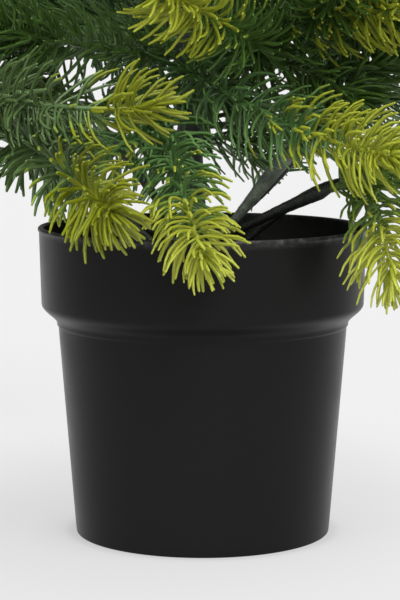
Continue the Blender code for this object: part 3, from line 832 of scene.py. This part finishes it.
def needle_shape(lean, bend, side, wave, rings):
    """A needle's middle line at length 1, as shares square to the stem, along it and sideways."""
    steps = rings - 1
    shape = np.zeros((len(lean), steps + 1, 3))
    for step in range(steps):
        u = (step + 0.5) / steps
        forward = lean + bend * u**BEND_POWER + wave * math.sin(2.0 * math.pi * u)
        aside = side * u
        way = np.stack(
            [np.cos(forward) * np.cos(aside), np.sin(forward) * np.cos(aside), np.sin(aside)], axis=1
        )
        shape[:, step + 1] = shape[:, step] + way / steps
    return shape


def clear_needles(needles, others, limbs):
    """Which needles keep clear of the pot's rim, the limbs and the stems of other shoots."""
    points = needles.rings()
    fits = np.ones(len(points), bool)
    for ring in range(1, points.shape[1]):
        place = points[:, ring]
        fits &= clear_of_rim(place, RIM_MARGIN)
        fits &= (nearest(place, limbs[0], limbs[1]) - limbs[2][None, :]).min(axis=1) > LIMB_MARGIN
        if ring > 1:
            fits &= nearest(place, others[0], others[1]).min(axis=1) > STEM_ROOT_RADIUS + STEM_MARGIN
    return fits & leaves_open(points)


def needle_mesh(needles):
    """Points of all needles, and the rows of faces of one needle for each step along it."""
    middles = needles.rings()
    count, rings, _ = middles.shape
    sides = needles.sides
    headings = unit(np.gradient(middles, axis=1))
    aside = np.cross(needles.square, needles.heading)[:, None, :]
    wide = unit(aside - headings * (aside * headings).sum(axis=2, keepdims=True))
    deep = np.cross(headings, wide)
    outline = needles.outline[None, :, None]
    points = np.empty((count, rings * sides + 1, 3))
    for side in range(sides):
        turn = 2.0 * math.pi * (side + NEEDLE_FACING) / sides
        offset = wide * math.cos(turn) * NEEDLE_HALF_WIDTH + deep * math.sin(turn) * NEEDLE_HALF_THICKNESS
        points[:, side : rings * sides : sides] = middles + offset * outline
    points[:, -1] = middles[:, -1] + headings[:, -1] * NEEDLE_END
    last, tip = (rings - 1) * sides, rings * sides
    cap = [(last + side, last + (side + 1) % sides, tip, -1) for side in range(sides)]
    return points, [np.array(rows) for rows in (*(band(ring, sides) for ring in range(rings - 1)), cap)]


def in_picture(points):
    """Where the camera sees points, in pixels of the whole picture, all on one level."""
    offset = points - np.array(CAMERA_PLACE)
    tilt = math.radians(CAMERA_DOWN)
    away = offset[..., 1] * math.cos(tilt) - offset[..., 2] * math.sin(tilt)
    rise = offset[..., 1] * math.sin(tilt) + offset[..., 2] * math.cos(tilt)
    scale = CAMERA_LENS / SENSOR * PICTURE[1] / away
    flat = np.zeros(away.shape)
    return np.stack([PICTURE[0] / 2 + offset[..., 0] * scale, PICTURE[1] / 2 - rise * scale, flat], axis=-1)


def leaves_open(lines):
    """Which lines, rows of points, keep out of the places that are open to the sky."""
    seen = in_picture(lines)
    starts, ends = seen[:, :-1].reshape(-1, 3), seen[:, 1:].reshape(-1, 3)
    centres = np.array([(x, y, 0.0) for group in OPENINGS.values() for x, y in group])
    radii = np.array([radius + OPENING_MARGIN for radius, group in OPENINGS.items() for _ in group])
    free = (nearest(centres, starts, ends) > radii[:, None]).all(axis=0)
    return free.reshape(len(lines), -1).all(axis=1)


def lime_growth(mass, number, rng):
    """The share of a shoot from which it is lime, or None where it stays dark, and its shade."""
    chance, start = rng.uniform(), rng.uniform(*LIME_START)
    shade = LIME_SHADES[rng.integers(len(LIME_SHADES))]
    return LIME_FROM.get((mass, number), (start, shade) if chance <= LIME_CHANCE else DARK)


def twig_lime_start(share, start, rng):
    """A twig turns lime sooner the nearer it stands to the lime part of its shoot."""
    if start is None:
        return None
    own = TWIG_LIME + (start - share) * TWIG_LIME_GAIN + rng.normal(0.0, TWIG_LIME_PLAY)
    return own if own < TWIG_LIME_LAST else None


def plan_twigs(shoot, rng, layout, mass):
    """The twigs of one planned shoot, to either side of it in turn, where there is room."""
    length = sum(path_steps(shoot.points))
    count = round(length * (TWIG_SHARE[1] - TWIG_SHARE[0]) / TWIG_STEP)
    twigs = []
    first_roll = rng.uniform(0.0, 360.0)
    for index in range(count):
        share = blend(*TWIG_SHARE, (index + rng.uniform(*TWIG_SHARE_PLAY)) / count)
        start, heading = along(shoot.points, share)
        right = heading.cross(UP)
        right = right.normalized() if right.length > TWIG_UPRIGHT else Vector((1.0, 0.0, 0.0))
        roll = first_roll + EVEN_TURN * index + rng.normal(0.0, TWIG_ROLL_PLAY)
        way = turned(heading, right, roll, rng.uniform(*TWIG_ANGLE))
        end = start + way * (rng.uniform(*TWIG_LENGTH) * blend(*TWIG_LENGTH_ALONG, share))
        twig = plan_side(shoot, share, end, stations=TWIG_STATIONS)
        room = layout.room_round(twig.points[1:], mass)
        roomy = room > TWIG_CLEARANCE and clear_of_rim(end, TWIG_RIM_CLEARANCE)
        if roomy and leaves_open(as_array(twig.points)[None])[0]:
            twigs.append((share, twig))
            layout.add(twig.points, CORE_RADIUS, mass)
    return twigs


def needle_grade(mass):
    """How finely a mass's needles are made."""
    if mass in CLEAN_MASSES:
        return "front"
    return "upper" if mass.startswith("upper") or mass == "leader" else "low"


def grow_shoot(shoot, mass, start, lime, scale, rng, layout, batches):
    """One shoot: its moulded stem and its needles, dealt out to the batches of their shades."""
    points, length = shoot.even(STEM_STEP)
    dark = OWN_DARK.get(mass, DARK_SHADES[rng.integers(len(DARK_SHADES))])
    grow_stem(points, start, dark, lime, scale, mass, batches)
    needles = Needles(points, length, needle_grade(mass), scale, rng)
    others = layout.pick(lambda other: other is not None and other != mass)
    limbs = layout.pick(lambda other: other is None)
    needles.keep(clear_needles(needles, others, limbs))
    count = len(needles.length)
    parts = len(needles.outline)
    lime_parts = np.zeros(count, int)
    if start is not None:
        grown = (needles.share - start) / LIME_BLEND + 0.5 + rng.normal(0.0, LIME_PLAY, count) / LIME_BLEND
        lime_parts = np.round(np.clip(grown, 0.0, 1.0) * parts).astype(int)
    mesh, steps = needle_mesh(needles)
    per_needle = mesh.shape[1]
    flat = mesh.reshape(-1, 3)
    for step, rows in enumerate(steps):
        first_lime = parts - lime_parts
        shade = np.where(step >= first_lime, lime, dark)
        shade = np.where((step == first_lime - 1) & (lime_parts > 0), MID_SHADE, shade)
        for value in np.unique(shade):
            chosen = np.nonzero(shade == value)[0]
            offset = (chosen * per_needle)[:, None, None]
            faces = np.where(rows[None, :, :] >= 0, rows[None, :, :] + offset, -1).reshape(-1, 4)
            batches["needles", str(value)].add(flat, faces, mass)


def grow_stem(points, start, dark, lime, scale, mass, batches):
    """The moulded stem of a shoot, green and then lime."""
    rings = len(points)
    radii = np.linspace(STEM_ROOT_RADIUS * scale, STEM_TIP_RADIUS, rings)
    mesh = np.concatenate([tube(points, STEM_SIDES, lambda side: radii), points[:1], points[-1:]])
    faces = bands(rings, STEM_SIDES) + [(*fan, -1) for fan in end_fans(rings, STEM_SIDES)]
    shades = []
    for ring in range(rings - 1):
        shades += [dark if start is None or ring / rings < start else lime] * STEM_SIDES
    shades += [dark, dark if start is None else lime] * STEM_SIDES
    faces, shades = np.array(faces), np.array(shades)
    for value in np.unique(shades):
        batches["stems", str(value)].add(mesh, faces[shades == value], mass)


def grow_masses(masses, layout):
    """Every needle and stem, joined by shade into pieces."""
    materials = {name: needle_material(name, *look) for name, look in SHADES.items()}
    batches = {(kind, shade): Batch(kind, shade) for kind in ("needles", "stems") for shade in SHADES}
    planned = []
    for order, (mass, shoots) in enumerate(masses.items()):
        for number, shoot in enumerate(shoots):
            seed = (SEED, order, number)
            rng = np.random.default_rng((*seed, 1))
            twigs = [] if mass in CLEAN_MASSES else plan_twigs(shoot, rng, layout, mass)
            planned.append((mass, number, shoot, twigs, seed))
    for mass, number, shoot, twigs, seed in planned:
        rng = np.random.default_rng(seed)
        start, lime = lime_growth(mass, number, rng)
        grow_shoot(shoot, mass, start, lime, 1.0, rng, layout, batches)
        for share, twig in twigs:
            own_start = twig_lime_start(share, start, rng)
            grow_shoot(twig, mass, own_start, lime, TWIG_NEEDLE, rng, layout, batches)
    for batch in batches.values():
        batch.build(materials[batch.shade])


def wrap_limb(node, points, radii, gone, sides, bundle, material):
    """A limb bound in ribbed tape that winds round it, over stems that swell it into lobes."""

    def reach(side):
        lap = (gone / TAPE_LAP - side / sides) % 1.0
        rib = np.cos(2.0 * math.pi * (gone / TAPE_RIB - side / sides))
        lobes = bundle * (np.abs(np.cos(2.0 * math.pi * side / sides + gone * LOBE_TURN)) - LOBE_MEAN)
        return radii * (1.0 + lobes) - TAPE_LAP_DEPTH * lap + TAPE_RIB_DEPTH * (rib - 1.0)

    ends = [tuple(reversed(range(sides))), tuple(range((len(points) - 1) * sides, len(points) * sides))]
    faces = bands(len(points), sides) + ends
    add_mesh(f"{node}_skin", tube(points, sides, reach), faces, material, [node])


def make_trunk():
    heights = np.arange(TRUNK_FOOT, TRUNK_TOP, TRUNK_RING_STEP)
    points = as_array([trunk_place(height) for height in heights])
    radii = np.array([trunk_radius(height) for height in heights])
    gone = heights - TRUNK_FOOT
    tape = tape_material("trunk_tape", 1.0)
    wrap_limb("trunk", points, radii, gone, TRUNK_SIDES, TRUNK_LOBES, tape)


def make_boughs(boughs):
    tape, painted_light_tape = map(tape_material, ("bough_tape", "bough_tape_painted_light"), TAPE_SHADE_AND_LIGHT_TONES)
    for name, bough in boughs.items():
        points, length = bough.even(TAPE_RIB / RINGS_PER_RIB)
        gone = np.linspace(0.0, length, len(points))
        radii = blend(BOUGH_ROOT_RADIUS, bough_tip_radius(name), (gone / length) ** BOUGH_SWELL_POWER)
        radii = np.minimum(radii, STEM_ROOT_RADIUS + (length - gone) * TAPE_END_SLOPE)
        # painted light on the lit boughs, painted shade on the others
        own = painted_light_tape if name in PAINTED_LIGHT_BOUGHS else tape
        wrap_limb(f"bough_{name}", points, radii, gone, BOUGH_SIDES, BOUGH_LOBES, own)


def arc(centre, radius, first, last, count):
    """Points of a section along an arc, from one angle to another, in degrees."""
    angles = np.radians(np.linspace(first, last, count))
    return [(centre[0] + radius * math.cos(a), centre[1] + radius * math.sin(a)) for a in angles]


def ease(share):
    return 0.5 - 0.5 * math.cos(math.pi * share)


def run(first, last, rings, shape=float):
    """Points from one corner of a section to another, the radius by its own shape."""
    corners = list(zip(first, last))
    return [(blend(*corners[0], shape(share)), blend(*corners[1], share)) for share in np.linspace(*rings)]


def pot_outer():
    """The pot's outer side, from the underside's edge up to the lip."""
    side = [(0.0, 0.0), (BASE[0] - BASE_EDGE, 0.0)]
    side += arc((BASE[0] - BASE_ROUND, BASE_ROUND), BASE_ROUND, -90.0, 0.0, BASE_POINTS)
    side += [*run(BASE, BODY_TOP, BODY_RINGS), *BODY_STEP]
    side += run(CREASE, FLARE_TOP, FLARE_RINGS, ease)
    side += run(FLARE_TOP, COLLAR_TOP, COLLAR_RINGS)
    side += run(COLLAR_TOP, LIP_LOW, LIP_RINGS, ease)
    return side + arc((LIP_RADIUS - LIP_ROUND, POT_HEIGHT - LIP_ROUND), LIP_ROUND, 0.0, 90.0, LIP_POINTS)


def pot_inner():
    """The inside of the wall, from the lip down to the floor's centre."""
    mouth = LIP_RADIUS - LIP_WIDTH
    side = arc((mouth + MOUTH_ROUND, POT_HEIGHT - MOUTH_DROPS[0]), MOUTH_ROUND, 90.0, 180.0, MOUTH_POINTS)
    side.append((mouth - MOUTH_OUT, POT_HEIGHT - MOUTH_DROPS[1]))
    wall = [COLLAR_TOP, (FLARE_TOP[0], FLARE_TOP[1] + INNER_FLARE_RISE)]
    wall += run(CREASE, FLARE_TOP, INNER_FLARE_RINGS, ease)
    wall += [BODY_TOP, (blend(BASE[0], BODY_TOP[0], INNER_BASE_SHARE), POT_FLOOR)]
    side += [(radius - POT_WALL, height) for radius, height in wall]
    return [*side, (0.0, POT_FLOOR)]


def revolve(section):
    """Points and faces of a closed section turned round the pot's axis."""
    rows = [place for place in section if place[0] > 0.0]
    angles = np.arange(POT_STEPS) * 2.0 * math.pi / POT_STEPS
    ring = np.stack([np.cos(angles), np.sin(angles)], axis=1)
    points = [np.column_stack([ring * radius, np.full(POT_STEPS, height)]) for radius, height in rows]
    points.append(np.array([(0.0, 0.0, section[0][1]), (0.0, 0.0, section[-1][1])]))
    return np.concatenate(points), bands(len(rows), POT_STEPS) + end_fans(len(rows), POT_STEPS)


def make_pot():
    points, faces = revolve(pot_outer() + pot_inner())
    add_mesh("pot_wall", points, faces, pot_material(), ["pot"])


def new_material(name):
    """A material, its nodes and its principled shader."""
    material = bpy.data.materials.new(name)
    material.use_nodes = True
    tree = material.node_tree
    return material, tree, tree.nodes["Principled BSDF"]


def set_inputs(tree, node, values):
    """Links each named input of a node to a socket, or sets it to a plain value."""
    for name, value in values.items():
        if isinstance(value, bpy.types.NodeSocket):
            tree.links.new(value, node.inputs[name])
        else:
            node.inputs[name].default_value = value


def add_node(tree, kind, values, **settings):
    node = tree.nodes.new(f"ShaderNode{kind}")
    for name, value in settings.items():
        setattr(node, name, value)
    set_inputs(tree, node, values)
    return node


def add_place(tree, kind):
    """The surface's own coordinates, or another kind."""
    return add_node(tree, "TexCoord", {}).outputs[kind]


def add_vector(tree, operation, output, *values):
    """What a vector operation makes of its one or two values."""
    return add_node(tree, "VectorMath", dict(enumerate(values)), operation=operation).outputs[output]


def add_range(tree, value, given, wanted=(0.0, 1.0), **settings):
    """A value taken from one range to another."""
    ends = {"From Min": given[0], "From Max": given[1], "To Min": wanted[0], "To Max": wanted[1]}
    return add_node(tree, "MapRange", {"Value": value, **ends}, **settings).outputs["Result"]


def add_mix(tree, share, first, second):
    """A colour between two others. A mix node has its colours at 6 and 7, and their mix at 2."""
    return add_node(tree, "Mix", {"Factor": share, 6: first, 7: second}, data_type="RGBA").outputs[2]


def add_noise(tree, scale, detail, roughness=NOISE_ROUGHNESS):
    """Noise over the object's own coordinates, in cells to the metre."""
    values = {"Scale": scale, "Detail": detail, "Roughness": roughness, "Vector": add_place(tree, "Object")}
    return add_node(tree, "TexNoise", values).outputs["Fac"]


def add_ramp(tree, value, stops):
    """The colours of a ramp over a value, from (position, colour or grey) stops in order."""
    ramp = add_node(tree, "ValToRGB", {"Fac": value})
    elements = ramp.color_ramp.elements
    for element, (position, _) in zip(elements, (stops[0], stops[-1])):
        element.position = position
    for position, _ in stops[1:-1]:
        elements.new(position)
    for element, (_, colour) in zip(elements, stops):
        element.color = (*colour, 1.0) if isinstance(colour, tuple) else (colour, colour, colour, 1.0)
    return ramp.outputs["Color"]


def add_grain(tree, shader, scale, detail, height, strength, roughness=NOISE_ROUGHNESS):
    """A bump of fine noise."""
    noise = add_noise(tree, scale, detail, roughness)
    bump = add_node(tree, "Bump", {"Distance": height, "Strength": strength, "Height": noise})
    set_inputs(tree, shader, {"Normal": bump.outputs["Normal"]})


def needle_material(name, colour, roughness):
    """Moulded polyethylene: one plain colour, with a fine unevenness of the mould."""
    material, tree, shader = new_material(f"needle_{name}")
    set_inputs(tree, shader, {"Base Color": (*colour, 1.0), "Roughness": roughness, "IOR": NEEDLE_IOR})
    add_grain(tree, shader, *NEEDLE_GRAIN)
    return material


def speckled_material(name, noise, stops, roughness, grain):
    """The colours of a ramp over noise, under a bump of fine noise."""
    material, tree, shader = new_material(name)
    colour = add_ramp(tree, add_noise(tree, *noise), stops)
    set_inputs(tree, shader, {"Base Color": colour, "Roughness": roughness})
    add_grain(tree, shader, *grain)
    return material


def tape_material(name, tone):
    """Crepe tape, dark green, scuffed paler in patches. The tone scales it all: below one it is painted
    shade, above one painted light.
    """
    stops = [(place, tuple(tone * part for part in colour)) for place, colour in TAPE_COLOURS]
    return speckled_material(name, TAPE_NOISE, stops, TAPE_ROUGHNESS, TAPE_GRAIN)


def pot_material():
    """Black injection-moulded plastic: satin, faintly mottled, with fine pale dust, painted light that
    makes the inside paler, and a painted highlight, partly wear, round the lip's top.
    """
    material, tree, shader = new_material("pot_plastic")
    place = add_place(tree, "Object")
    level = add_vector(tree, "MULTIPLY", "Vector", place, (1.0, 1.0, 0.0))
    inward = add_vector(tree, "DOT_PRODUCT", "Value", level, add_place(tree, "Normal"))
    dusty = add_ramp(tree, add_noise(tree, *POT_DUST), POT_COLOURS)
    # painted light: the faces that look inward are painted paler
    dusty_and_painted_inside = add_mix(tree, add_range(tree, inward, POT_INWARD), dusty, POT_INSIDE_PAINTED_LIGHT)
    height = add_node(tree, "SeparateXYZ", {"Vector": place}).outputs["Z"]
    # painted highlight, partly wear, round the lip's top
    lip_highlight_and_wear = add_ramp(tree, add_noise(tree, *LIP_HIGHLIGHT_AND_WEAR_NOISE), LIP_HIGHLIGHT_AND_WEAR_COLOURS)
    colour = add_mix(tree, add_range(tree, height, LIP_HIGHLIGHT_AND_WEAR_HEIGHTS), dusty_and_painted_inside, lip_highlight_and_wear)
    roughness = add_range(tree, add_noise(tree, *POT_MOTTLE), POT_MOTTLE_SPAN, POT_ROUGHNESS)
    set_inputs(tree, shader, {"Base Color": colour, "IOR": POT_IOR, "Roughness": roughness})
    add_grain(tree, shader, *POT_GRAIN)
    return material


def make_stage():
    """A pale, softly lit floor that runs on to the horizon, glowing with its own light, with painted shadow
    that pales away from the pot and a painted contact shadow round its foot.
    """
    mesh = bpy.data.meshes.new("floor")
    corners = [(x * FLOOR_REACH, y * FLOOR_REACH, 0.0) for x, y in ((-1, -1), (1, -1), (1, 1), (-1, 1))]
    mesh.from_pydata(corners, [], [(0, 1, 2, 3)])
    material, tree, shader = new_material("floor_paper")
    place = add_place(tree, "Object")
    # painted shadow: the glow is dimmer near the pot
    glow = add_ramp(tree, add_vector(tree, "DISTANCE", "Value", place, FLOOR_SHADE), FLOOR_GLOW)
    # painted contact shadow close round the pot's foot
    contact = add_ramp(tree, add_vector(tree, "LENGTH", "Value", place), FOOT_SHADE)
    values = {
        "Emission Color": add_vector(tree, "MULTIPLY", "Vector", glow, contact),
        "Emission Strength": 1.0,
        "Base Color": (FLOOR_TONE, FLOOR_TONE, FLOOR_TONE, 1.0),
        "Roughness": FLOOR_ROUGHNESS,
        "Specular IOR Level": 0.0,
    }
    set_inputs(tree, shader, values)
    mesh.materials.append(material)
    add_object("floor", mesh)


def make_world():
    """Room light, weaker from the camera's side, and the white that the camera sees instead."""
    world = bpy.data.worlds.new("room")
    bpy.context.scene.world = world
    world.use_nodes = True
    tree = world.node_tree
    depth = add_node(tree, "SeparateXYZ", {"Vector": add_place(tree, "Generated")}).outputs["Y"]
    room = add_range(tree, depth, ROOM_TURN, ROOM_LIGHT, interpolation_type="SMOOTHSTEP")
    seen = add_node(tree, "LightPath", {}).outputs["Is Camera Ray"]
    mix = add_node(tree, "Mix", {"Factor": seen, "A": room, "B": BACKDROP_LIGHT}, data_type="FLOAT")
    values = {"Color": (1.0, 1.0, 1.0, 1.0), "Strength": mix.outputs["Result"]}
    set_inputs(tree, tree.nodes["Background"], values)


def make_lights():
    """Distant soft lights."""
    for name, (azimuth, height, spread, power) in LIGHTS.items():
        light = bpy.data.lights.new(name, "SUN")
        light.angle = math.radians(spread)
        light.energy = power
        lamp = add_object(name, light)
        place = outward(azimuth) * math.cos(math.radians(height)) + UP * math.sin(math.radians(height))
        lamp.location = place * LIGHT_DISTANCE
        lamp.rotation_euler = place.to_track_quat("Z", "Y").to_euler()


def make_camera():
    camera = bpy.data.cameras.new("photo_camera")
    camera.lens = CAMERA_LENS
    camera.sensor_width = SENSOR
    camera.clip_end = CAMERA_FAR
    view = add_object("photo_camera", camera)
    view.location = CAMERA_PLACE
    view.rotation_euler = (math.radians(90.0 - CAMERA_DOWN), 0.0, 0.0)
    bpy.context.scene.camera = view


def main():
    bpy.context.scene.view_settings.view_transform = "Standard"
    make_camera()
    make_world()
    make_lights()
    make_stage()
    make_pot()
    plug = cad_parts["plug"]
    plug.data.materials.clear()
    cast = speckled_material("plug_cast", PLUG_NOISE, PLUG_COLOURS, PLUG_ROUGHNESS, PLUG_GRAIN)
    plug.data.materials.append(cast)
    boughs, masses, layout = plan_tree()
    make_trunk()
    make_boughs(boughs)
    grow_masses(masses, layout)
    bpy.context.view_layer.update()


main()
